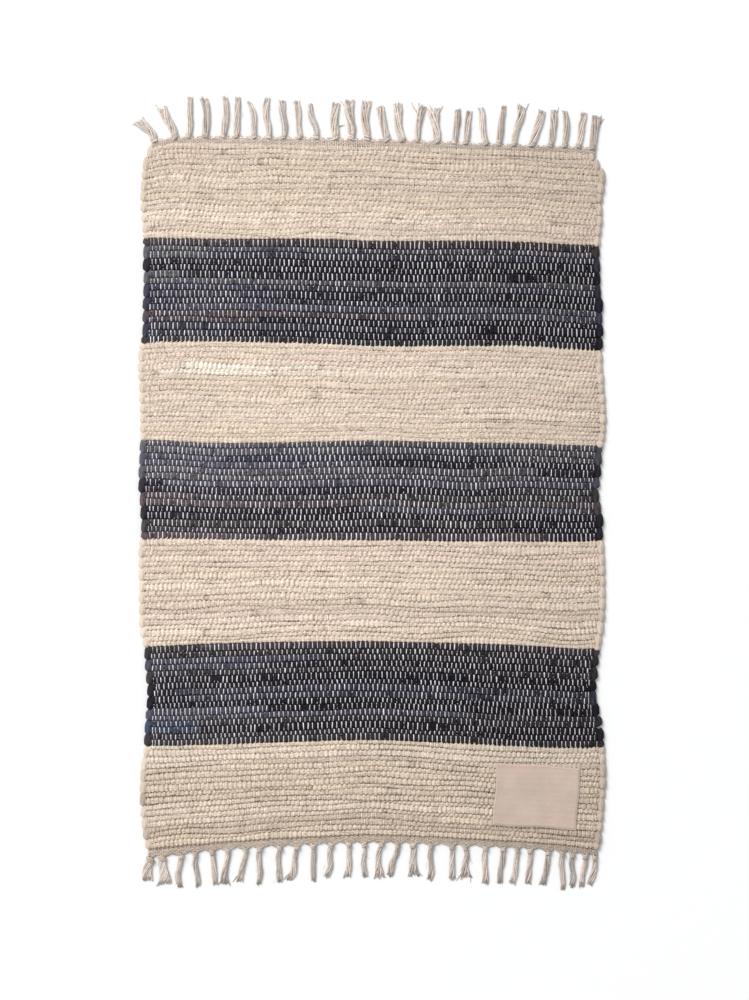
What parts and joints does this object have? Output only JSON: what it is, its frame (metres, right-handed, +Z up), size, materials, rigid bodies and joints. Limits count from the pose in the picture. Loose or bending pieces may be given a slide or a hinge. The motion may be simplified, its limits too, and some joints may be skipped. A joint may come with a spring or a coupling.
{
  "type": "rag rug",
  "caption": "Flat rectangular rug of woven rags in wide cream and charcoal stripes, with a knotted, tasselled heading at both ends and a small bare sewn patch.",
  "frame": {"origin": "middle of the rug's box, at the underside", "axes": "+X across the rug along its picks, +Y along the rug toward the end without the patch, +Z up"},
  "size_m": [0.6106, 1.0216, 0.0077],
  "materials": {
    "rag_cloth": "coarse matte rag weave, cream and charcoal stripes",
    "warp_cotton": "matte grey-beige cotton yarn",
    "patch_cotton": "plain matte cotton, bare"
  },
  "bodies": {
    "root": {"rug_body": "rag_cloth", "fringe_far": "warp_cotton", "fringe_near": "warp_cotton", "sewn_patch": "patch_cotton"}
  },
  "joints": []
}
